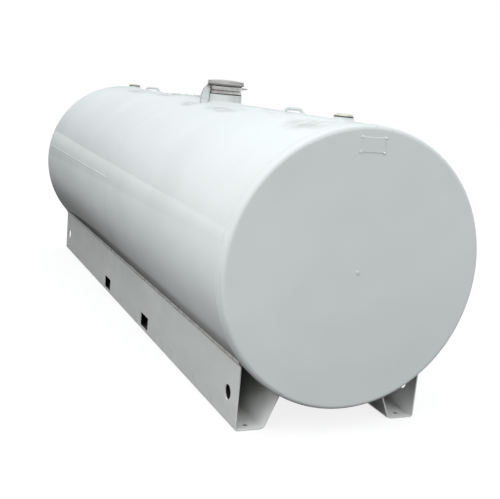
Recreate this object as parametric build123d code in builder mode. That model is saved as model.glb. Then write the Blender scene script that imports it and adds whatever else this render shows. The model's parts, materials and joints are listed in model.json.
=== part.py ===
"""Horizontal steel storage tank on two folded-plate skids, with a hinged filler lid.

Millimetres. X runs along the tank, Z is up, and the origin is on the floor under the middle of the tank.
"""

import os
from math import sqrt

from build123d import *

# Tank body
tank_diameter = 1250.0
tank_length = 4000.0
floor_clearance = 110.0
shell_thickness = 5.0
head_thickness = 6.0
knuckle_radius = 20.0
head_skirt = 38.0
pilot_diameter = 16.0
pilot_depth = 2.0

# Skids
skid_setback = 100.0
skid_width = 920.0
skid_plate = 6.0
skid_foot_width = 138.0
skid_lean = 254.0
outer_bend = 14.0
inner_bend = 34.0
lifting_hole_diameter = 70.0
lifting_hole_height = 141.0
lifting_hole_inset = 115.0
fork_spacing = 908.0
fork_pocket_width = 155.0
fork_headroom = 8.0
fork_pocket_floor = 22.0
fork_pocket_corner = 8.0
anchor_hole_diameter = 18.0
anchor_inset = 45.0
anchor_offset = 68.0

# Filler
filler_place = 280.0
filler_wall = 6.5
filler_height = 41.0
filler_lip = 7.0
neck_gasket_thickness = 6.0
neck_gasket_inset = 1.2
collar_diameter = 197.0
collar_wall = 25.0
collar_shoulder = 1.5
collar_lower_height = 14.0
collar_groove_height = 5.5
collar_groove_depth = 7.5
collar_upper_height = 21.5
lid_gasket_thickness = 5.0
lid_gasket_inset = 2.0
lid_seat_gap = 0.5
lid_overhang = 9.5
lid_height = 26.0
lid_taper = 2.5
lid_crown = 6.5
lid_wall = 10.5
lid_edge_radius = 3.5

# Hinge and tab of the filler lid
hinge_offset = 11.0
hinge_drop = 33.0
hinge_pin_diameter = 12.5
hinge_pin_head = 4.0
hinge_pin_head_diameter = 17.0
hinge_eye_diameter = 34.5
hinge_ear_width = 13.0
hinge_ear_root = 5.0
hinge_lug_thickness = 6.0
hinge_lug_foot = 42.0
hinge_lug_lean = 9.0
hinge_lug_rise = 25.5
hinge_side_gap = 1.0
tab_length = 40.0
tab_width = 24.0
tab_root = 18.0
tab_tip = 4.5
tab_fall = 3.8

# Sockets, bows, inspection opening and plate
socket_inset = 275.0
socket_diameter = 90.0
socket_bore = 60.0
socket_height = 13.0
seal_thickness = 5.0
seal_inset = 1.4
plug_diameter = 79.0
plug_flange = 6.5
plug_rim_diameter = 62.0
plug_rim_height = 3.5
plug_recess_diameter = 46.0
plug_recess_depth = 6.0
plug_notch_width = 10.0
bow_inset = 780.0
bow_bar = 16.0
bow_span = 122.0
bow_flat = 72.0
bow_gap = 8.5
bow_bend = 19.0
inspection_place = 420.0
inspection_diameter = 186.0
inspection_bore = 130.0
inspection_rise = 4.0
inspection_cover_thickness = 5.0
plate_width = 114.0
plate_height = 62.0
plate_thickness = 2.0
plate_below_edge = 50.0

# Clearances
seat_gap = 0.3
thread_gap = 0.4
pin_gap = 0.3

# Derived sizes
tank_radius = tank_diameter / 2
axis_height = floor_clearance + tank_radius
crown_height = axis_height + tank_radius
half_length = tank_length / 2
head_depth = knuckle_radius + head_skirt
strake_length = half_length - head_depth
skid_face = skid_width / 2
skid_toe = skid_face - skid_foot_width
skid_length = tank_length - 2 * skid_setback
fork_pocket_height = floor_clearance - fork_pocket_floor - fork_headroom
filler_diameter = collar_diameter + 2 * collar_shoulder
filler_bore = collar_diameter - 2 * collar_wall
lid_diameter = collar_diameter + 2 * lid_overhang
hinge_reach = lid_diameter / 2 + hinge_offset
socket_place = half_length - socket_inset
bow_place = half_length - bow_inset
tank_axis = Axis((0, 0, axis_height), (1, 0, 0))
tank_centre = Location((0, 0, axis_height), (0, 90, 0))
profile_plane = Plane(origin=(0, 0, axis_height), x_dir=(1, 0, 0), z_dir=(0, -1, 0))


def shell_height(y):
    """Height of the underside of the tank at a distance from its centre plane."""
    return axis_height - sqrt(tank_radius**2 - y**2)


def shell_drop(y):
    """How far the crown of the tank has fallen at a distance from its centre plane."""
    return tank_radius - sqrt(tank_radius**2 - y**2)


def upright(x):
    """Plane for a turned fitting on the crown, with its height measured from the crown."""
    return Plane(origin=(x, 0, crown_height), x_dir=(1, 0, 0), z_dir=(0, -1, 0))


def upright_axis(x):
    """Centre line of a turned fitting on the crown."""
    return Axis((x, 0, crown_height), (0, 0, 1))


# How far a tube that enters the shell reaches below the crown
filler_root = shell_drop(filler_diameter / 2) + shell_thickness
socket_root = shell_drop(socket_diameter / 2) + shell_thickness

# Heights above the crown, up the stack of the filler
collar_base = filler_height + neck_gasket_thickness
groove_low = collar_base + collar_lower_height
groove_high = groove_low + collar_groove_height
collar_top = groove_high + collar_upper_height
lid_base = collar_top + lid_seat_gap + lid_gasket_thickness
lid_top = lid_base + lid_height
hinge_height = crown_height + lid_base - hinge_drop


def save(piece, name):
    """Label one finished piece and write it."""
    piece.part.label = name
    export_step(piece.part, f"parts/{name}.step")


os.makedirs("parts", exist_ok=True)

# Shell strakes: two rolled plates that meet at the middle girth seam, with their crown fittings' holes
filler_cut = filler_diameter / 2 + seat_gap
socket_cut = socket_diameter / 2 + seat_gap
inspection_cut = inspection_bore / 2
for name, end, place, cut in (
    ("near_shell", 1, filler_place, filler_cut),
    ("far_shell", -1, -inspection_place, inspection_cut),
):
    with BuildPart() as strake:
        with BuildSketch(Plane.YZ):
            with Locations((0, axis_height)):
                Circle(tank_radius)
                Circle(tank_radius - shell_thickness, mode=Mode.SUBTRACT)
        extrude(amount=end * strake_length)
        with Locations((place, 0, crown_height)):
            Cylinder(cut, tank_radius, mode=Mode.SUBTRACT)
        with Locations((end * socket_place, 0, crown_height)):
            Cylinder(socket_cut, tank_radius, mode=Mode.SUBTRACT)
    save(strake, name)

# Flat heads with a turned knuckle, a short skirt and a closed pilot hole
with BuildPart() as near_head:
    with BuildSketch(profile_plane):
        with BuildLine():
            knuckle_start = half_length - knuckle_radius
            flat_radius = tank_radius - knuckle_radius
            inner_radius = tank_radius - head_thickness
            inner_face = half_length - head_thickness
            Line((half_length - head_depth, tank_radius), (knuckle_start, tank_radius))
            TangentArc((knuckle_start, tank_radius), (half_length, flat_radius), tangent=(1, 0))
            Line((half_length, flat_radius), (half_length, 0))
            Line((half_length, 0), (inner_face, 0))
            Line((inner_face, 0), (inner_face, flat_radius))
            TangentArc((inner_face, flat_radius), (knuckle_start, inner_radius), tangent=(0, 1))
            Line((knuckle_start, inner_radius), (half_length - head_depth, inner_radius))
            Line((half_length - head_depth, inner_radius), (half_length - head_depth, tank_radius))
        make_face()
    revolve(axis=tank_axis)
    with BuildSketch(Plane.YZ.offset(half_length)):
        with Locations((0, axis_height)):
            Circle(pilot_diameter / 2)
    extrude(amount=-pilot_depth, mode=Mode.SUBTRACT)
save(near_head, "near_head")

with BuildPart() as far_head:
    mirror(near_head.part, about=Plane.YZ)
save(far_head, "far_head")

# Skids: one plate folded into an outer web, a foot and a leaning inner web, both webs cut to the shell
with BuildPart() as left_skid:
    with BuildSketch(Plane.YZ):
        with BuildLine():
            FilletPolyline(
                (-skid_face, axis_height),
                (-skid_face, 0),
                (-skid_toe, 0),
                (skid_toe - 2 * skid_lean, 2 * shell_height(skid_lean)),
                radius=[outer_bend, inner_bend],
            )
            offset(amount=skid_plate, side=Side.LEFT)
        make_face()
    extrude(amount=skid_length / 2, both=True)
    with Locations(tank_centre):
        Cylinder(tank_radius + seat_gap, tank_length, mode=Mode.SUBTRACT)
    with BuildSketch(Plane.XZ.offset(skid_face)):
        for end in (-1, 1):
            with Locations((end * (skid_length / 2 - lifting_hole_inset), lifting_hole_height)):
                Circle(lifting_hole_diameter / 2)
    extrude(amount=-2 * skid_plate, mode=Mode.SUBTRACT)
    with BuildSketch(Plane.XZ.offset(skid_face)):
        with GridLocations(fork_spacing, 0, 2, 1):
            with Locations((0, fork_pocket_floor + fork_pocket_height / 2)):
                RectangleRounded(fork_pocket_width, fork_pocket_height, fork_pocket_corner)
    extrude(amount=-skid_face, mode=Mode.SUBTRACT)
    with BuildSketch(Plane.XY):
        for end in (-1, 1):
            with Locations((end * (skid_length / 2 - anchor_inset), anchor_offset - skid_face)):
                Circle(anchor_hole_diameter / 2)
    extrude(amount=skid_plate, mode=Mode.SUBTRACT)
save(left_skid, "left_skid")

with BuildPart() as right_skid:
    mirror(left_skid.part, about=Plane.XZ)
save(right_skid, "right_skid")

# Filler neck: a tube through the shell, closed at the top by a lip that carries the collar
with BuildPart() as filler_neck:
    with BuildSketch(upright(filler_place)):
        with BuildLine():
            Polyline(
                (filler_diameter / 2 - filler_wall, -filler_root),
                (filler_diameter / 2, -filler_root),
                (filler_diameter / 2, filler_height),
                (filler_bore / 2, filler_height),
                (filler_bore / 2, filler_height - filler_lip),
                (filler_diameter / 2 - filler_wall, filler_height - filler_lip),
                close=True,
            )
        make_face()
    revolve(axis=upright_axis(filler_place))
save(filler_neck, "filler_neck")

with BuildPart() as neck_gasket:
    with BuildSketch(Plane.XY.offset(crown_height + filler_height)):
        with Locations((filler_place, 0)):
            Circle(collar_diameter / 2 - neck_gasket_inset)
            Circle(filler_bore / 2, mode=Mode.SUBTRACT)
    extrude(amount=neck_gasket_thickness)
save(neck_gasket, "neck_gasket")

# Collar: a turned ring in two tiers with a groove between them
with BuildPart() as filler_collar:
    with BuildSketch(upright(filler_place)):
        with BuildLine():
            Polyline(
                (filler_bore / 2, collar_base),
                (collar_diameter / 2, collar_base),
                (collar_diameter / 2, groove_low),
                (collar_diameter / 2 - collar_groove_depth, groove_low),
                (collar_diameter / 2 - collar_groove_depth, groove_high),
                (collar_diameter / 2, groove_high),
                (collar_diameter / 2, collar_top),
                (filler_bore / 2, collar_top),
                close=True,
            )
        make_face()
    revolve(axis=upright_axis(filler_place))
save(filler_collar, "filler_collar")

# Lid: a crowned cast cap, hollow over the bore, with a hinge ear that reaches down outside the collar
with BuildPart() as filler_lid:
    with BuildSketch(Plane.YZ.offset(filler_place)):
        with Locations((-hinge_reach, hinge_height)):
            Circle(hinge_eye_diameter / 2)
        with Locations((-lid_diameter / 2, crown_height + lid_base)):
            Rectangle(hinge_ear_root, hinge_ear_root, align=(Align.MIN, Align.MIN))
        make_hull()
    extrude(amount=hinge_ear_width / 2, both=True)
    with BuildSketch(upright(filler_place)):
        with BuildLine():
            rim = lid_diameter / 2
            top_rim = rim - lid_taper
            side_top = lid_top - lid_edge_radius
            hollow_top = lid_top - lid_wall
            Line((filler_bore / 2, lid_base), (rim, lid_base))
            Line((rim, lid_base), (top_rim, side_top))
            TangentArc((top_rim, side_top), (top_rim - lid_edge_radius, lid_top), tangent=(0, 1))
            TangentArc((0, lid_top + lid_crown), (top_rim - lid_edge_radius, lid_top), tangent=(1, 0))
            Line((0, lid_top + lid_crown), (0, hollow_top))
            Line((0, hollow_top), (filler_bore / 2, hollow_top))
            Line((filler_bore / 2, hollow_top), (filler_bore / 2, lid_base))
        make_face()
    revolve(axis=upright_axis(filler_place))
    with BuildSketch(Plane.YZ.offset(filler_place)):
        with Locations((-hinge_reach, hinge_height)):
            Circle(hinge_pin_diameter / 2 + pin_gap)
    extrude(amount=hinge_ear_width, both=True, mode=Mode.SUBTRACT)
save(filler_lid, "filler_lid")

# Gasket bonded under the lid, over the collar
with BuildPart() as lid_gasket:
    with BuildSketch(Plane.XY.offset(crown_height + collar_top + lid_seat_gap)):
        with Locations((filler_place, 0)):
            Circle(collar_diameter / 2 - lid_gasket_inset)
            Circle(filler_bore / 2, mode=Mode.SUBTRACT)
    extrude(amount=lid_gasket_thickness)
save(lid_gasket, "lid_gasket")

# Hinge lugs: two plates that stand on the shell, one on each side of the lid's ear
lug_inner = hinge_ear_width / 2 + hinge_side_gap
lug_outer = lug_inner + hinge_lug_thickness
with BuildPart() as hinge_lugs:
    for side in (-1, 1):
        with BuildSketch(Plane.YZ.offset(filler_place + side * lug_inner)):
            with Locations((-hinge_reach, hinge_height)):
                Circle(hinge_eye_diameter / 2)
            with Locations((-hinge_reach - hinge_lug_lean, crown_height + hinge_lug_rise)):
                Rectangle(hinge_lug_foot, 2 * hinge_lug_rise, align=(Align.CENTER, Align.MAX))
            make_hull()
            with Locations((-hinge_reach, hinge_height)):
                Circle(hinge_pin_diameter / 2, mode=Mode.SUBTRACT)
        extrude(amount=side * hinge_lug_thickness)
    with Locations(tank_centre):
        Cylinder(tank_radius + seat_gap, tank_length, mode=Mode.SUBTRACT)
save(hinge_lugs, "hinge_lugs")

with BuildPart() as hinge_pin:
    with Locations(Location((filler_place, -hinge_reach, hinge_height), (0, 90, 0))):
        Cylinder(hinge_pin_diameter / 2 - pin_gap / 2, 2 * lug_outer)
        for end in (-1, 1):
            with Locations((0, 0, end * (lug_outer + hinge_pin_head / 2))):
                Cylinder(hinge_pin_head_diameter / 2, hinge_pin_head)
save(hinge_pin, "hinge_pin")

# Tab on the collar, opposite the hinge: a tapered tongue level with the collar's top
tab_height = crown_height + collar_top
with BuildPart() as latch_tab:
    with BuildSketch(Plane.YZ.offset(filler_place)):
        with BuildLine():
            tab_inner = collar_diameter / 2 - collar_groove_depth
            tab_outer = collar_diameter / 2 + tab_length
            Polyline(
                (tab_inner, tab_height - tab_root),
                (tab_outer, tab_height - tab_fall - tab_tip),
                (tab_outer, tab_height - tab_fall),
                (tab_inner, tab_height),
                close=True,
            )
        make_face()
    extrude(amount=tab_width / 2, both=True)
    with Locations((filler_place, 0, tab_height)):
        Cylinder(collar_diameter / 2 + seat_gap, 3 * tab_root, mode=Mode.SUBTRACT)
save(latch_tab, "latch_tab")

# Sockets through the shell, each with a seal and a plug that has a flange and a notched rim
for name, place in (("near", socket_place), ("far", -socket_place)):
    with BuildPart() as socket:
        with BuildSketch(Plane.XY.offset(crown_height - socket_root)):
            with Locations((place, 0)):
                Circle(socket_diameter / 2)
                Circle(socket_bore / 2, mode=Mode.SUBTRACT)
        extrude(amount=socket_root + socket_height)
    save(socket, f"{name}_socket")
    with BuildPart() as seal:
        with BuildSketch(Plane.XY.offset(crown_height + socket_height)):
            with Locations((place, 0)):
                Circle(socket_diameter / 2 - seal_inset)
                Circle(socket_bore / 2, mode=Mode.SUBTRACT)
        extrude(amount=seal_thickness)
    save(seal, f"{name}_seal")
    with BuildPart() as plug:
        with BuildSketch(upright(place)):
            with BuildLine():
                cap_base = socket_height + seal_thickness
                flange_top = cap_base + plug_flange
                cap_top = flange_top + plug_rim_height
                Polyline(
                    (0, 0),
                    (socket_bore / 2 - thread_gap, 0),
                    (socket_bore / 2 - thread_gap, cap_base),
                    (plug_diameter / 2, cap_base),
                    (plug_diameter / 2, flange_top),
                    (plug_rim_diameter / 2, flange_top),
                    (plug_rim_diameter / 2, cap_top),
                    (plug_recess_diameter / 2, cap_top),
                    (plug_recess_diameter / 2, cap_top - plug_recess_depth),
                    (0, cap_top - plug_recess_depth),
                    close=True,
                )
            make_face()
        revolve(axis=upright_axis(place))
        with Locations((place, 0, crown_height + cap_top)):
            Box(plug_diameter, plug_notch_width, 2 * plug_rim_height, mode=Mode.SUBTRACT)
            Box(plug_notch_width, plug_diameter, 2 * plug_rim_height, mode=Mode.SUBTRACT)
    save(plug, f"{name}_plug")

# Lifting bows: round bar bent over the crown, its feet cut to the shell
bow_centre = crown_height + bow_gap + bow_bar / 2
bow_foot = crown_height - shell_drop(bow_span / 2) - bow_bar / 2
for name, place in (("near", bow_place), ("far", -bow_place)):
    with BuildPart() as bow:
        with BuildLine(Plane.YZ.offset(place)) as bow_path:
            FilletPolyline(
                (-bow_span / 2, bow_foot),
                (-bow_flat / 2, bow_centre),
                (bow_flat / 2, bow_centre),
                (bow_span / 2, bow_foot),
                radius=bow_bend,
            )
        with BuildSketch(Plane(origin=bow_path.line @ 0, z_dir=bow_path.line % 0)):
            Circle(bow_bar / 2)
        sweep()
        with Locations(tank_centre):
            Cylinder(tank_radius + seat_gap, tank_length, mode=Mode.SUBTRACT)
    save(bow, f"{name}_lifting_bow")

# Inspection opening: a low ring cut to the shell, closed by a flat blind cover
with BuildPart() as inspection_flange:
    with BuildSketch(Plane.XY.offset(crown_height + inspection_rise)):
        with Locations((-inspection_place, 0)):
            Circle(inspection_diameter / 2)
            Circle(inspection_bore / 2, mode=Mode.SUBTRACT)
    extrude(amount=-inspection_rise - 2 * shell_drop(inspection_diameter / 2))
    with Locations(tank_centre):
        Cylinder(tank_radius + seat_gap, tank_length, mode=Mode.SUBTRACT)
save(inspection_flange, "inspection_flange")

with BuildPart() as inspection_cover:
    with BuildSketch(Plane.XY.offset(crown_height + inspection_rise)):
        with Locations((-inspection_place, 0)):
            Circle(inspection_diameter / 2)
    extrude(amount=inspection_cover_thickness)
save(inspection_cover, "inspection_cover")

# Bare plate near the top of the near head
with BuildPart() as head_plate:
    with BuildSketch(Plane.YZ.offset(half_length)):
        with Locations((0, crown_height - plate_below_edge - plate_height / 2)):
            Rectangle(plate_width, plate_height)
    extrude(amount=plate_thickness)
save(head_plate, "head_plate")
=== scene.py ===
"""Looks of the horizontal storage tank: paint, welds, fasteners, floor, light and camera."""

import json
import math
import random

import bpy
from mathutils import Matrix, Vector


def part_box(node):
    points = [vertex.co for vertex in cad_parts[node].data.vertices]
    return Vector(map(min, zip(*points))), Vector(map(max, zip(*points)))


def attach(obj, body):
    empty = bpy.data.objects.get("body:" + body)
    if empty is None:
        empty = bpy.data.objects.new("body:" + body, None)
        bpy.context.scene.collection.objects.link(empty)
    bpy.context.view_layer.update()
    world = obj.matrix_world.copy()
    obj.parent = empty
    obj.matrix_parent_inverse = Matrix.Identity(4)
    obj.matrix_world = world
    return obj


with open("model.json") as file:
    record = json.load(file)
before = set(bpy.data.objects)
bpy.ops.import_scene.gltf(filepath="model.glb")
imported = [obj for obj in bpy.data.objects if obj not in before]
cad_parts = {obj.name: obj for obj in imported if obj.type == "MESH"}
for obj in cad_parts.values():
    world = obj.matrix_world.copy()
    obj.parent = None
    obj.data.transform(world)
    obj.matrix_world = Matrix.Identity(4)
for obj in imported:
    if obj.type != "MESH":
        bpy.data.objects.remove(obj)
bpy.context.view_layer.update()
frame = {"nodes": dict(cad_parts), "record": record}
nodes = frame["nodes"]
scene = bpy.context.scene

# Places read from the frame, in metres
near_low, near_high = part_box("near_shell")
far_low, far_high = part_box("far_shell")
head_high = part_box("near_head")[1]
skid_low, skid_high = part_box("left_skid")
collar_low, collar_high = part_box("filler_collar")
lug_low, lug_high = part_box("hinge_lugs")
cover_low, cover_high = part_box("inspection_cover")
plate_low, plate_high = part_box("head_plate")
tank_radius = (near_high.z - near_low.z) / 2
axis_z = (near_high.z + near_low.z) / 2
crown_z = near_high.z
skid_face = -skid_low.y
cover_centre = (cover_low + cover_high) / 2

# Camera of the photograph, in metres, degrees and pixels of the 500 pixel frame
frame_width = 500
camera_place = Vector((5.011, -1.855, 1.487))
camera_yaw = 156.84
camera_pitch = -12.98
camera_roll = -5.15
camera_focal = 837.9
camera_shift = (15, 25)

# Welds, as width and height of the bead
seam = (0.011, 0.0013)
head_seam = (0.012, 0.0022)
web_fillet = (0.034, 0.009)
fitting_fillet = (0.014, 0.005)
small_fillet = (0.008, 0.003)
ripple_pitch = 0.007
ripple_swell = (0.74, 1.0, 0.9)
bead_sides = 6

# Places and sizes of welds, fasteners and details that no node's box gives
inner_web_top = 0.254
inner_web_lean = -0.931
outer_web_lean = -0.374
far_seam_angle = math.radians(-80)
near_seam_angle = math.radians(75)
bow_bar = 0.016
bow_foot_reach = 0.0532
bow_foot_stretch = 1.35
tack_radius = 0.0053
tack_height = 0.0038
pilot_radius = 0.0105
pilot_height = 0.0028
screw_count = 8
screw_inset = 0.014
screw_radius = 0.0062
screw_height = 0.0034
collar_groove = 0.0168
lid_gap = 0.0055
anchor_hole = (1.855, 0.392)
web_top = axis_z - math.sqrt(tank_radius**2 - skid_face**2)
foot_toe = 0.32

# Painted reflections of the fittings on the crown, as places and reaches along X and Y
crown_reflection_patches = (
    ((1.73, -0.18), (0.24, 0.10)),
    ((0.72, -0.19), (0.28, 0.05)),
    ((0.19, -0.19), (0.18, 0.06)),
    ((-0.55, -0.11), (0.25, 0.05)),
    ((-1.15, -0.13), (0.35, 0.06)),
)

# Colours of paint, wear and dirt, and of painted shade, light and reflections, as linear red, green and blue
shell_tones = ((0.79, 0.825, 0.82), (0.76, 0.795, 0.79))
# Painted reflections on the crown, as streaks and as patches in front of the fittings
painted_crown_reflection = (0.36, 0.37, 0.36)
painted_fitting_reflection = (0.40, 0.41, 0.40)
fitting_tint = (0.46, 0.49, 0.46)
# Painted shade under the barrel, darkest at the far end
painted_underside_shade = (0.17, 0.175, 0.165)
painted_far_end_shade = (0.05, 0.052, 0.05)
plate_tones = ((0.715, 0.735, 0.715), (0.665, 0.685, 0.66))
yard_dirt = (0.34, 0.31, 0.26)
# Painted shade, darker towards the far end of the skids
painted_skid_far_shade = (0.30, 0.31, 0.29)
# Painted shade inside the channel, and painted light towards its open ends
painted_channel_shade = (0.07, 0.07, 0.06)
painted_up_face_light = (0.93, 0.94, 0.915)
painted_open_end_light = (0.96, 0.965, 0.95)
worn_edge = (0.95, 0.955, 0.93)
cut_edge = (0.86, 0.87, 0.84)
# Painted shade in the anchor holes
painted_hole_shade = (0.03, 0.03, 0.028)
# Painted highlight on the edges of turned metal
painted_edge_highlight = (0.93, 0.93, 0.91)
# Painted shade in the collar's groove and under the lid's rim
painted_groove_shade = (0.16, 0.16, 0.155)

# Lamps, as name, place, target, size and power
lamps = (
    ("top_light", (-1.6, -3.0, 6.0), (-0.6, 0.0, 1.0), (5.0, 4.0), 46.0),
    ("front_light", (3.0, -3.4, 2.3), (1.2, 0.0, 0.5), (3.0, 2.5), 60.0),
    ("fill_light", (5.6, 1.6, 2.0), (2.0, 0.0, 0.4), (3.0, 2.0), 44.0),
    ("back_light", (-4.0, 4.5, 2.0), (0.0, 0.0, 0.6), (3.0, 2.0), 60.0),
)

draw = random.Random(7)


def link(obj, material):
    """Put a new piece in the scene, give it its finish and let it ride on the tank."""
    scene.collection.objects.link(obj)
    obj.data.materials.append(material)
    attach(obj, "tank")


def mesh_object(name, verts, faces, smooth=True):
    """A mesh object from plain lists."""
    mesh = bpy.data.meshes.new(name)
    mesh.from_pydata(verts, [], faces)
    mesh.polygons.foreach_set("use_smooth", [smooth] * len(mesh.polygons))
    mesh.update()
    return bpy.data.objects.new(name, mesh)


# Materials


class Graph:
    """A material's node tree, with the few helpers that the finishes share."""

    def __init__(self, name):
        self.material = bpy.data.materials.new(name)
        self.material.use_nodes = True
        self.tree = self.material.node_tree
        self.shader = self.tree.nodes["Principled BSDF"]
        self.coords = self.tree.nodes.new("ShaderNodeTexCoord").outputs["Object"]

    def add(self, kind, **settings):
        node = self.tree.nodes.new(kind)
        for key, value in settings.items():
            setattr(node, key, value)
        return node

    def wire(self, source, target):
        self.tree.links.new(source, target)

    def stretched(self, scale):
        mapping = self.add("ShaderNodeMapping")
        mapping.inputs["Scale"].default_value = scale
        self.wire(self.coords, mapping.inputs["Vector"])
        return mapping.outputs["Vector"]

    def noise(self, scale, detail=2.0, vector=None):
        node = self.add("ShaderNodeTexNoise")
        node.inputs["Scale"].default_value = scale
        node.inputs["Detail"].default_value = detail
        self.wire(vector or self.coords, node.inputs["Vector"])
        return node.outputs["Fac"]

    def remap(self, value, low, high, out_low, out_high):
        node = self.add("ShaderNodeMapRange", interpolation_type="SMOOTHSTEP")
        node.inputs["From Min"].default_value = low
        node.inputs["From Max"].default_value = high
        node.inputs["To Min"].default_value = out_low
        node.inputs["To Max"].default_value = out_high
        self.wire(value, node.inputs["Value"])
        return node.outputs["Result"]

    def times(self, first, second):
        node = self.add("ShaderNodeMath", operation="MULTIPLY")
        self.wire(first, node.inputs[0])
        self.wire(second, node.inputs[1])
        return node.outputs["Value"]

    def mix(self, factor, first, second):
        node = self.add("ShaderNodeMix", data_type="RGBA")
        self.wire(factor, node.inputs["Factor"])
        for socket, value in ((node.inputs[6], first), (node.inputs[7], second)):
            if isinstance(value, tuple):
                socket.default_value = (*value, 1.0)
            else:
                self.wire(value, socket)
        return node.outputs[2]

    def along(self, axis, vector=None):
        node = self.add("ShaderNodeSeparateXYZ")
        self.wire(vector or self.coords, node.inputs["Vector"])
        return node.outputs[axis]

    def away(self, value, middle=0.0):
        """Distance of a value from a middle value."""
        less = self.add("ShaderNodeMath", operation="SUBTRACT")
        less.inputs[1].default_value = middle
        self.wire(value, less.inputs[0])
        size = self.add("ShaderNodeMath", operation="ABSOLUTE")
        self.wire(less.outputs["Value"], size.inputs[0])
        return size.outputs["Value"]

    def patch(self, place, reach, mirrored=False):
        """1 in the middle of an upright oval and 0 at its rim, once or mirrored to all four corners."""
        vector = self.coords
        if mirrored:
            fold = self.add("ShaderNodeVectorMath", operation="ABSOLUTE")
            self.wire(vector, fold.inputs[0])
            vector = fold.outputs["Vector"]
        mapping = self.add("ShaderNodeMapping")
        mapping.inputs["Scale"].default_value = (1 / reach[0], 1 / reach[1], 0.0)
        mapping.inputs["Location"].default_value = (-place[0] / reach[0], -place[1] / reach[1], 0.0)
        self.wire(vector, mapping.inputs["Vector"])
        length = self.add("ShaderNodeVectorMath", operation="LENGTH")
        self.wire(mapping.outputs["Vector"], length.inputs[0])
        return self.remap(length.outputs["Value"], 0.2, 1.0, 1.0, 0.0)

    def rounded(self, radius):
        node = self.add("ShaderNodeBevel", samples=6)
        node.inputs["Radius"].default_value = radius
        return node.outputs["Normal"]

    def edges(self, radius):
        """1 along sharp edges and 0 on flat and gently curved faces."""
        dot = self.add("ShaderNodeVectorMath", operation="DOT_PRODUCT")
        self.wire(self.rounded(radius), dot.inputs[0])
        self.wire(self.add("ShaderNodeNewGeometry").outputs["Normal"], dot.inputs[1])
        return self.remap(dot.outputs["Value"], 0.8, 0.98, 1.0, 0.0)

    def bump(self, normal, *layers):
        """Stack bump layers of (height, distance) on a normal."""
        for height, distance in layers:
            node = self.add("ShaderNodeBump")
            node.inputs["Strength"].default_value = 1.0
            node.inputs["Distance"].default_value = distance
            self.wire(height, node.inputs["Height"])
            self.wire(normal, node.inputs["Normal"])
            normal = node.outputs["Normal"]
        self.wire(normal, self.shader.inputs["Normal"])


def shell_enamel():
    """Glossy enamel on rolled plate: clouds, plate waves, orange peel, painted reflections of the fittings on the
    crown and painted shade on the underside.
    """
    g = Graph("white_enamel")
    x, z = g.along("X"), g.along("Z")
    cloud = g.remap(g.noise(1.7, 4.0), 0.35, 0.65, 0.0, 1.0)
    colour = g.mix(cloud, *shell_tones)

    # Painted reflections of the fittings along the crown, and duller paint on the fittings that stand on it
    reflection_streaks = g.remap(g.noise(9.0, 6.0, g.stretched((0.5, 1.6, 1.0))), 0.5, 0.68, 0.0, 1.0)
    crown = g.remap(z, crown_z - 0.03, crown_z - 0.002, 0.0, 0.26)
    colour = g.mix(g.times(reflection_streaks, crown), colour, painted_crown_reflection)
    reflection_amount = g.remap(g.noise(20.0, 5.0), 0.36, 0.6, 0.1, 0.5)
    reflection_amount = g.times(reflection_amount, g.remap(z, axis_z, crown_z, 0.0, 1.0))
    for place, reach in crown_reflection_patches:
        colour = g.mix(g.times(reflection_amount, g.patch(place, reach)), colour, painted_fitting_reflection)
    fitting = g.remap(z, crown_z, crown_z + 0.01, 0.0, 0.2)
    colour = g.mix(fitting, colour, fitting_tint)

    # Painted shade on the lower half of the barrel and in the corner above the webs, darkest under the far end
    barrel = g.remap(g.away(x), near_high.x - 0.01, near_high.x, 1.0, 0.0)
    dull = g.times(barrel, g.remap(z, axis_z - 0.25, axis_z + 0.1, 0.17, 0.0))
    colour = g.mix(dull, colour, painted_underside_shade)
    under = g.times(barrel, g.remap(z, web_top + 0.02, web_top + 0.16, 1.0, 0.0))
    under = g.times(under, g.remap(x, -2.0, 1.0, 0.85, 0.7))
    under = g.times(under, g.remap(g.noise(3.0, 4.0), 0.3, 0.7, 0.85, 1.0))
    colour = g.mix(under, colour, painted_underside_shade)
    end = g.remap(x, far_low.x + 0.4, near_high.x - 0.3, 0.92, 0.0)
    end = g.times(end, g.remap(x, far_low.x - 0.022, far_low.x - 0.018, 0.0, 1.0))
    end = g.times(end, g.remap(z, web_top + 0.06, web_top + 0.35, 1.0, 0.0))
    colour = g.mix(end, colour, painted_far_end_shade)

    g.wire(colour, g.shader.inputs["Base Color"])
    g.wire(g.remap(g.noise(9.0, 3.0), 0.3, 0.7, 0.35, 0.5), g.shader.inputs["Roughness"])
    g.shader.inputs["Specular IOR Level"].default_value = 0.0
    g.shader.inputs["Coat Weight"].default_value = 0.17
    g.shader.inputs["Coat Roughness"].default_value = 0.05
    g.bump(g.rounded(0.002), (g.noise(2.6, 1.0), 0.012), (g.noise(420.0), 0.00005))
    return g.material


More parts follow.
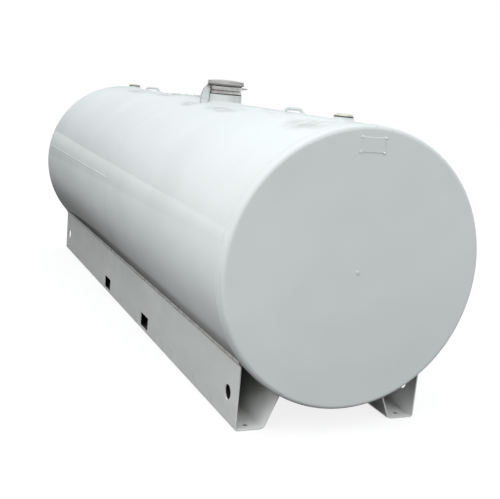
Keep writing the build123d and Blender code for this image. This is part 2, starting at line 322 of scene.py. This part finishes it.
def plate_enamel():
    """Satin enamel on folded plate: faint streaks, dirt near the floor, painted shade towards the far end and along
    the channel, painted light at the channel's open ends, and pale worn ends.
    """
    g = Graph("skid_enamel")
    x, z = g.along("X"), g.along("Z")
    to_end = g.away(x)
    normal = g.add("ShaderNodeNewGeometry").outputs["Normal"]
    streak = g.remap(g.noise(5.0, 5.0, g.stretched((0.35, 1.0, 1.0))), 0.35, 0.65, 0.0, 1.0)
    colour = g.mix(streak, *plate_tones)
    speck = g.remap(g.noise(30.0, 6.0, g.stretched((0.6, 0.6, 1.0))), 0.5, 0.75, 0.0, 1.0)
    low = g.remap(z, 0.0, 0.12, 0.3, 0.0)
    colour = g.mix(g.times(speck, low), colour, yard_dirt)
    # Painted shade, darker towards the far end
    colour = g.mix(g.remap(x, -1.9, 0.8, 0.2, 0.0), colour, painted_skid_far_shade)

    # Inside the channel: painted shade along the middle, and painted light towards the open ends, most on up-facing
    # faces
    inner = g.remap(g.away(g.along("Y")), skid_face - 0.005, skid_face - 0.003, 1.0, 0.0)
    deep = g.times(inner, g.remap(to_end, 1.1, 1.85, 0.9, 0.0))
    colour = g.mix(deep, colour, painted_channel_shade)
    up_face_light = g.remap(g.along("Z", normal), 0.8, 0.98, 0.0, 1.0)
    up_face_light = g.times(up_face_light, g.remap(to_end, 1.6, 1.85, 0.0, 1.0))
    colour = g.mix(up_face_light, colour, painted_up_face_light)
    open_end_light = g.times(inner, g.remap(to_end, 1.65, skid_high.x, 0.0, 1.0))
    open_end_light = g.times(open_end_light, g.remap(z, 0.02, 0.2, 1.0, 0.3))
    colour = g.mix(open_end_light, colour, painted_open_end_light)

    # Worn edges, cut ends, and painted shade at the anchor holes
    worn = g.times(g.edges(0.009), g.remap(g.noise(45.0, 4.0), 0.35, 0.6, 0.7, 1.0))
    colour = g.mix(worn, colour, worn_edge)
    cut = g.remap(g.away(g.along("X", normal)), 0.7, 0.95, 0.0, 1.0)
    colour = g.mix(cut, colour, cut_edge)
    colour = g.mix(g.patch(anchor_hole, (0.016, 0.016), mirrored=True), colour, painted_hole_shade)

    g.wire(colour, g.shader.inputs["Base Color"])
    g.wire(g.remap(g.noise(14.0, 3.0), 0.3, 0.7, 0.4, 0.6), g.shader.inputs["Roughness"])
    g.shader.inputs["Specular IOR Level"].default_value = 0.03
    g.bump(g.rounded(0.002), (g.noise(2.0, 1.0), 0.003), (g.noise(420.0), 0.00006))
    return g.material


def weld_enamel(name, light, shade):
    """Enamel over a weld bead: duller than the plate, spattered and pitted."""
    g = Graph(name)
    patch = g.remap(g.noise(40.0, 5.0), 0.35, 0.65, 0.0, 1.0)
    g.wire(g.mix(patch, light, shade), g.shader.inputs["Base Color"])
    g.wire(g.remap(g.noise(90.0, 2.0), 0.3, 0.7, 0.3, 0.55), g.shader.inputs["Roughness"])
    g.shader.inputs["Specular IOR Level"].default_value = 0.15
    g.bump(g.rounded(0.0008), (g.noise(260.0, 3.0), 0.0004))
    return g.material


def turned_metal(name, light, shade, dull_low, dull_high, groove=None, reach=0.0):
    """Turned metal: bright and dull bands round the axis, lathe rings, painted highlights on the edges, pits and
    painted shade in a groove.
    """
    g = Graph(name)
    band = g.remap(g.noise(170.0, 3.0, g.stretched((0.03, 0.03, 1.0))), 0.36, 0.64, 0.0, 1.0)
    colour = g.mix(band, light, shade)
    tarnish = g.remap(g.noise(26.0, 5.0), 0.5, 0.75, 0.0, 0.25)
    colour = g.mix(tarnish, colour, shade)
    # Painted highlight along the edges
    colour = g.mix(g.edges(0.0015), colour, painted_edge_highlight)
    # Painted shade along a groove, when one is given
    if groove:
        line = g.remap(g.away(g.along("Z"), groove), reach / 2, reach, 0.8, 0.0)
        colour = g.mix(line, colour, painted_groove_shade)
    g.wire(colour, g.shader.inputs["Base Color"])
    g.shader.inputs["Metallic"].default_value = 1.0
    g.wire(g.remap(g.noise(60.0, 3.0), 0.3, 0.7, dull_low, dull_high), g.shader.inputs["Roughness"])
    rings = g.noise(900.0, 2.0, g.stretched((0.02, 0.02, 1.0)))
    g.bump(g.rounded(0.0012), (rings, 0.00006), (g.noise(500.0, 3.0), 0.00002))
    return g.material


def moulded(name, light, shade, roughness, grain):
    """Moulded plastic or rubber with a fine grain and slight patchiness."""
    g = Graph(name)
    patch = g.remap(g.noise(30.0, 4.0), 0.35, 0.65, 0.0, 1.0)
    g.wire(g.mix(patch, light, shade), g.shader.inputs["Base Color"])
    g.wire(g.remap(g.noise(80.0), 0.3, 0.7, roughness - 0.08, roughness + 0.08), g.shader.inputs["Roughness"])
    g.bump(g.rounded(0.001), (g.noise(1400.0), grain))
    return g.material


white_paint = shell_enamel()
skid_paint = plate_enamel()
shell_weld = weld_enamel("shell_weld_enamel", (0.78, 0.80, 0.795), (0.70, 0.72, 0.71))
tack_weld = weld_enamel("tack_weld_enamel", (0.89, 0.91, 0.905), (0.83, 0.85, 0.84))
# Darker weld paint on the web fillets, partly painted shade of the corner under the shell
web_weld_and_shade = weld_enamel("web_weld_enamel_and_shade", (0.60, 0.61, 0.585), (0.43, 0.433, 0.41))
# The dark band at the lid's base is painted shade under its rim
aluminium = turned_metal("cast_aluminium", (0.565, 0.57, 0.555), (0.385, 0.39, 0.375), 0.24, 0.42,
                         collar_high.z + lid_gap, 0.010)
# The dark band in the collar's groove is painted shade
grooved_aluminium = turned_metal("collar_aluminium", (0.60, 0.605, 0.59), (0.41, 0.415, 0.40), 0.24, 0.42,
                                 collar_low.z + collar_groove, 0.004)
pin_steel = turned_metal("pin_steel", (0.85, 0.85, 0.84), (0.60, 0.60, 0.59), 0.16, 0.3)
rubber = moulded("black_rubber", (0.028, 0.028, 0.028), (0.045, 0.045, 0.044), 0.7, 0.0001)
cream = moulded("cream_plastic", (0.87, 0.845, 0.75), (0.79, 0.76, 0.66), 0.5, 0.00006)
finishes = {
    "white_paint": white_paint,
    "skid_paint": skid_paint,
    "cast_aluminium": aluminium,
    "pin_steel": pin_steel,
    "black_rubber": rubber,
    "cream_plastic": cream,
}
for part in frame["record"]["subparts"]:
    node = nodes[part["node"]]
    node.data.materials.clear()
    node.data.materials.append(finishes[part["material_slot"]])
nodes["filler_collar"].data.materials[0] = grooved_aluminium


# Weld beads


def bead(name, stations, size, closed=False, material=shell_weld, ragged=0.12):
    """A rippled weld bead. Each station is its point, its outward direction and its sideways direction."""
    width, height = size
    verts = []
    faces = []
    count = len(stations)
    for i, (point, out, side) in enumerate(stations):
        swell = ripple_swell[i % 3] * (1 + 0.1 * (draw.random() - 0.5))
        spread = width / 2 * (1 + ragged * (draw.random() - 0.5))
        for k in range(bead_sides + 1):
            angle = math.pi * k / bead_sides
            verts.append(point + side * (spread * math.cos(angle)) + out * (height * swell * math.sin(angle)))
    row = bead_sides + 1
    for i in range(count if closed else count - 1):
        j = (i + 1) % count
        for k in range(bead_sides):
            faces.append((i * row + k, i * row + k + 1, j * row + k + 1, j * row + k))
    if not closed:
        faces.append(tuple(range(row)))
        faces.append(tuple((count - 1) * row + k for k in reversed(range(row))))
    link(mesh_object(name, verts, faces), material)


def steps(length):
    """Rings of a bead of this length: three for each ripple."""
    return max(6, 3 * round(length / ripple_pitch))


def on_shell(x, angle):
    """Point on the shell and its outward direction, at an angle from the crown towards +Y."""
    out = Vector((0, math.sin(angle), math.cos(angle)))
    return Vector((x, 0, axis_z)) + out * tank_radius, out


def girth_seam(name, x, size):
    """Bead round the whole shell."""
    count = steps(2 * math.pi * tank_radius)
    rings = [on_shell(x, 2 * math.pi * i / count) for i in range(count)]
    bead(name, [(p, out, Vector((1, 0, 0))) for p, out in rings], size, closed=True, material=white_paint)


def long_seam(name, x_from, x_to, angle):
    """Bead along a strake, where its rolled plate closes."""
    count = steps(abs(x_to - x_from))
    side = Vector((0, math.cos(angle), -math.sin(angle)))
    stations = []
    for i in range(count + 1):
        point, out = on_shell(x_from + (x_to - x_from) * i / count, angle)
        stations.append((point, out, side))
    bead(name, stations, seam, material=white_paint)


def web_weld_run(name, y, lean, push):
    """Fillet along the top of a skid's web, under the shell."""
    z = axis_z - math.sqrt(tank_radius**2 - y**2)
    out = Vector((0, push * math.sqrt(1 - lean**2), lean))
    side = Vector((1, 0, 0)).cross(out)
    count = steps(skid_high.x - skid_low.x)
    run = (skid_high.x - skid_low.x) / count
    stations = [(Vector((skid_low.x + run * i, y, z)), out, side) for i in range(count + 1)]
    bead(name, stations, web_fillet, material=web_weld_and_shade, ragged=0.5)


def ring_fillet(name, x, reach_x, reach_y, size, y=0.0):
    """Fillet round a tube or bar that stands on the crown."""
    count = steps(math.pi * (reach_x + reach_y))
    stations = []
    for i in range(count):
        turn = 2 * math.pi * i / count
        angle = math.asin((y + reach_y * math.sin(turn)) / tank_radius)
        point, up = on_shell(x + reach_x * math.cos(turn), angle)
        away = Vector((math.cos(turn), math.sin(turn), 0))
        stations.append((point, (up + away).normalized(), (away - up).normalized()))
    bead(name, stations, size, closed=True)


def foot_fillet(name, x, push, y_from, y_to):
    """Fillet along the foot of a lug plate, across the crown."""
    count = steps(y_to - y_from)
    away = Vector((push, 0, 0))
    stations = []
    for i in range(count + 1):
        point, up = on_shell(x, math.asin((y_from + (y_to - y_from) * i / count) / tank_radius))
        stations.append((point, (up + away).normalized(), (away - up).normalized()))
    bead(name, stations, small_fillet)


girth_seam("middle_girth_weld", near_low.x, seam)
girth_seam("near_head_weld", near_high.x, head_seam)
girth_seam("far_head_weld", far_low.x, head_seam)
long_seam("far_long_weld", far_low.x, far_high.x, far_seam_angle)
long_seam("near_long_weld", near_low.x, near_high.x, near_seam_angle)

for hand, name in ((-1, "left"), (1, "right")):
    web_weld_run(f"{name}_outer_web_weld", hand * skid_face, outer_web_lean, hand)
    web_weld_run(f"{name}_inner_web_weld", hand * inner_web_top, inner_web_lean, -hand)

for node in ("filler_neck", "near_socket", "far_socket", "inspection_flange"):
    low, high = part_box(node)
    reach = (high.x - low.x) / 2
    ring_fillet(f"{node}_weld", (low.x + high.x) / 2, reach, reach, fitting_fillet)

for node in ("near_lifting_bow", "far_lifting_bow"):
    low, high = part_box(node)
    for hand, name in ((-1, "left"), (1, "right")):
        ring_fillet(f"{node}_{name}_weld", (low.x + high.x) / 2, bow_bar / 2, bow_bar / 2 * bow_foot_stretch,
                    small_fillet, y=hand * bow_foot_reach)

for x, push, name in ((lug_low.x, -1, "far"), (lug_high.x, 1, "near")):
    foot_fillet(f"{name}_lug_weld", x, push, lug_low.y, lug_high.y)


# Tack welds and screws


def lump(verts, faces, centre, out, radius, height):
    """Add one small weld lump: a dome of four wavering rings with a crater at its middle."""
    side = out.orthogonal().normalized()
    over = out.cross(side)
    around = 14
    first = len(verts)
    rings = ((1.0, -0.1), (0.85, 0.6), (0.5, 1.0), (0.2, 0.8))
    for share, rise in rings:
        for k in range(around):
            turn = 2 * math.pi * k / around
            reach = radius * share * (1 + 0.16 * (draw.random() - 0.5))
            level = height * rise * (1 + 0.2 * (draw.random() - 0.5))
            verts.append(centre + side * (reach * math.cos(turn)) + over * (reach * math.sin(turn)) + out * level)
    for ring in range(len(rings) - 1):
        for k in range(around):
            a = first + ring * around + k
            b = first + ring * around + (k + 1) % around
            faces.append((a, b, b + around, a + around))
    faces.append(tuple(first + (len(rings) - 1) * around + k for k in range(around)))


def screw(verts, faces, centre, radius, height):
    """Add one button-head screw with a hexagon socket, standing up from its seat."""
    around = 24
    first = len(verts)
    key = radius * 0.5
    rings = ((radius, 0.0), (radius, 0.35), (radius * 0.86, 0.8), (radius * 0.66, 1.0))
    for reach, rise in rings:
        for k in range(around):
            turn = 2 * math.pi * k / around
            verts.append(centre + Vector((reach * math.cos(turn), reach * math.sin(turn), height * rise)))
    for rise in (1.0, 0.3):
        for k in range(around):
            turn = 2 * math.pi * k / around
            flat = math.pi / 6 - abs(turn % (math.pi / 3) - math.pi / 6)
            reach = key / math.cos(math.pi / 6 - flat)
            verts.append(centre + Vector((reach * math.cos(turn), reach * math.sin(turn), height * rise)))
    for ring in range(len(rings) + 1):
        for k in range(around):
            a = first + ring * around + k
            b = first + ring * around + (k + 1) % around
            faces.append((a, b, b + around, a + around))
    faces.append(tuple(first + (len(rings) + 1) * around + k for k in range(around)))


def plate_tacks():
    """Tack welds at the corners of the plate on the near head."""
    verts = []
    faces = []
    for y in (plate_low.y, plate_high.y):
        for z in (plate_low.z, plate_high.z):
            lump(verts, faces, Vector((plate_high.x, y, z)), Vector((1, 0, 0)), tack_radius, tack_height)
    link(mesh_object("plate_tack_welds", verts, faces), tack_weld)


def pilot_welds():
    """The weld that closes the pilot hole of each head."""
    for name, x, push in (("near_pilot_weld", head_high.x, 1), ("far_pilot_weld", -head_high.x, -1)):
        verts = []
        faces = []
        lump(verts, faces, Vector((x, 0, axis_z)), Vector((push, 0, 0)), pilot_radius, pilot_height)
        link(mesh_object(name, verts, faces), shell_weld)


def cover_screws():
    """Ring of screws on the inspection cover."""
    verts = []
    faces = []
    reach = (cover_high.x - cover_low.x) / 2 - screw_inset
    for i in range(screw_count):
        turn = 2 * math.pi * (i + 0.5) / screw_count
        place = Vector((reach * math.cos(turn), reach * math.sin(turn), 0))
        seat = Vector((cover_centre.x, cover_centre.y, cover_high.z))
        screw(verts, faces, seat + place, screw_radius, screw_height)
    link(mesh_object("cover_screws", verts, faces, smooth=False), pin_steel)


plate_tacks()
pilot_welds()
cover_screws()

# Camera


def photo_camera():
    """The camera that was fitted to the photograph, from its angles and pixels."""
    yaw, pitch, roll = (math.radians(a) for a in (camera_yaw, camera_pitch, camera_roll))
    ahead = Vector((math.cos(pitch) * math.cos(yaw), math.cos(pitch) * math.sin(yaw), math.sin(pitch)))
    right = ahead.cross(Vector((0, 0, 1))).normalized()
    down = ahead.cross(right)
    rolled_right = right * math.cos(roll) + down * math.sin(roll)
    rolled_down = down * math.cos(roll) - right * math.sin(roll)
    data = bpy.data.cameras.new("photo_camera")
    data.sensor_width = 36.0
    data.lens = data.sensor_width * camera_focal / frame_width
    data.shift_x, data.shift_y = (pixels / frame_width for pixels in camera_shift)
    camera = bpy.data.objects.new("photo_camera", data)
    turn = Matrix((rolled_right, -rolled_down, -ahead)).transposed()
    camera.matrix_world = Matrix.Translation(camera_place) @ turn.to_4x4()
    scene.collection.objects.link(camera)
    scene.camera = camera


photo_camera()

# Floor, sky and lamps


def seen(tree):
    """1 for what the camera sees, straight or in gloss or glass, and 0 for light on the object."""
    path = tree.nodes.new("ShaderNodeLightPath")
    total = path.outputs["Is Camera Ray"]
    for name in ("Is Glossy Ray", "Is Transmission Ray"):
        add = tree.nodes.new("ShaderNodeMath")
        add.operation = "MAXIMUM"
        tree.links.new(total, add.inputs[0])
        tree.links.new(path.outputs[name], add.inputs[1])
        total = add.outputs["Value"]
    return total


def floor():
    """White paper to look at, dark under the feet, with a soft shadow. The light it throws back is a dull yard's."""
    half = 40.0
    verts = [(-half, -half, 0), (half, -half, 0), (half, half, 0), (-half, half, 0)]
    obj = mesh_object("floor", verts, [(0, 1, 2, 3)], smooth=False)
    scene.collection.objects.link(obj)
    g = Graph("floor_paper")
    watched = seen(g.tree)
    across = g.away(g.along("Y"))
    feet = g.remap(across, foot_toe, foot_toe + 0.02, 0.0, 1.0)
    feet = g.times(feet, g.remap(across, skid_face - 0.03, skid_face - 0.02, 1.0, 0.0))
    feet = g.times(feet, g.remap(g.away(g.along("X")), skid_high.x - 0.02, skid_high.x - 0.01, 1.0, 0.0))
    g.wire(g.mix(watched, (0.07, 0.07, 0.068), (0.2, 0.2, 0.2)), g.shader.inputs["Base Color"])
    glow = g.mix(feet, (0.84, 0.84, 0.84), (0.0, 0.0, 0.0))
    g.wire(g.mix(watched, (0.0, 0.0, 0.0), glow), g.shader.inputs["Emission Color"])
    g.shader.inputs["Emission Strength"].default_value = 1.0
    g.shader.inputs["Roughness"].default_value = 0.9
    g.shader.inputs["Specular IOR Level"].default_value = 0.0
    g.material.cycles.emission_sampling = "NONE"
    obj.data.materials.append(g.material)


def horizon_card():
    """A ring far round the floor that only reflections show: bright up to a horizon and dark above it."""
    around = 64
    reach = 12.0
    top = 3.6
    line = 1.65
    verts = []
    for z in (0.0, top):
        for k in range(around):
            turn = 2 * math.pi * k / around
            verts.append((reach * math.cos(turn), reach * math.sin(turn), z))
    faces = [(k, (k + 1) % around, (k + 1) % around + around, k + around) for k in range(around)]
    obj = mesh_object("horizon_card", verts, faces)
    scene.collection.objects.link(obj)
    g = Graph("card_tones")
    tone = g.mix(g.remap(g.along("Z"), 0.2, line, 0.0, 1.0), (0.2, 0.2, 0.2), (2.1, 2.1, 2.1))
    tone = g.mix(g.remap(g.along("Z"), line - 0.02, line + 0.02, 0.0, 1.0), tone, (0.12, 0.12, 0.12))
    tone = g.mix(g.remap(g.along("Z"), line, top, 0.0, 1.0), tone, (1.0, 1.0, 1.0))
    g.wire(tone, g.shader.inputs["Emission Color"])
    g.shader.inputs["Emission Strength"].default_value = 1.0
    g.shader.inputs["Base Color"].default_value = (0.0, 0.0, 0.0, 1.0)
    g.shader.inputs["Specular IOR Level"].default_value = 0.0
    g.material.cycles.emission_sampling = "NONE"
    obj.data.materials.append(g.material)
    obj.visible_camera = False
    obj.visible_diffuse = False
    obj.visible_shadow = False


def sky():
    """An overcast sky that lights from above, and plain white where it is seen."""
    world = bpy.data.worlds.new("sky")
    scene.world = world
    world.use_nodes = True
    tree = world.node_tree
    background = tree.nodes["Background"]
    height = tree.nodes.new("ShaderNodeSeparateXYZ")
    tree.links.new(tree.nodes.new("ShaderNodeTexCoord").outputs["Generated"], height.inputs["Vector"])
    overcast = tree.nodes.new("ShaderNodeMix")
    overcast.data_type = "RGBA"
    overcast.inputs[6].default_value = (0.12, 0.125, 0.125, 1.0)
    overcast.inputs[7].default_value = (1.27, 1.31, 1.34, 1.0)
    tree.links.new(height.outputs["Z"], overcast.inputs["Factor"])
    mix = tree.nodes.new("ShaderNodeMix")
    mix.data_type = "RGBA"
    tree.links.new(overcast.outputs[2], mix.inputs[6])
    mix.inputs[7].default_value = (1.0, 1.0, 1.0, 1.0)
    tree.links.new(seen(tree), mix.inputs["Factor"])
    tree.links.new(mix.outputs[2], background.inputs["Color"])
    background.inputs["Strength"].default_value = 1.0


def softbox(name, place, target, size, power):
    """A rectangular lamp that points at a target and shows in no reflection."""
    data = bpy.data.lights.new(name, "AREA")
    data.shape = "RECTANGLE"
    data.size, data.size_y = size
    data.energy = power
    lamp = bpy.data.objects.new(name, data)
    lamp.location = place
    lamp.rotation_euler = (Vector(target) - Vector(place)).to_track_quat("-Z", "Y").to_euler()
    lamp.visible_glossy = False
    scene.collection.objects.link(lamp)


floor()
horizon_card()
sky()
for lamp in lamps:
    softbox(*lamp)
scene.view_settings.view_transform = "Standard"
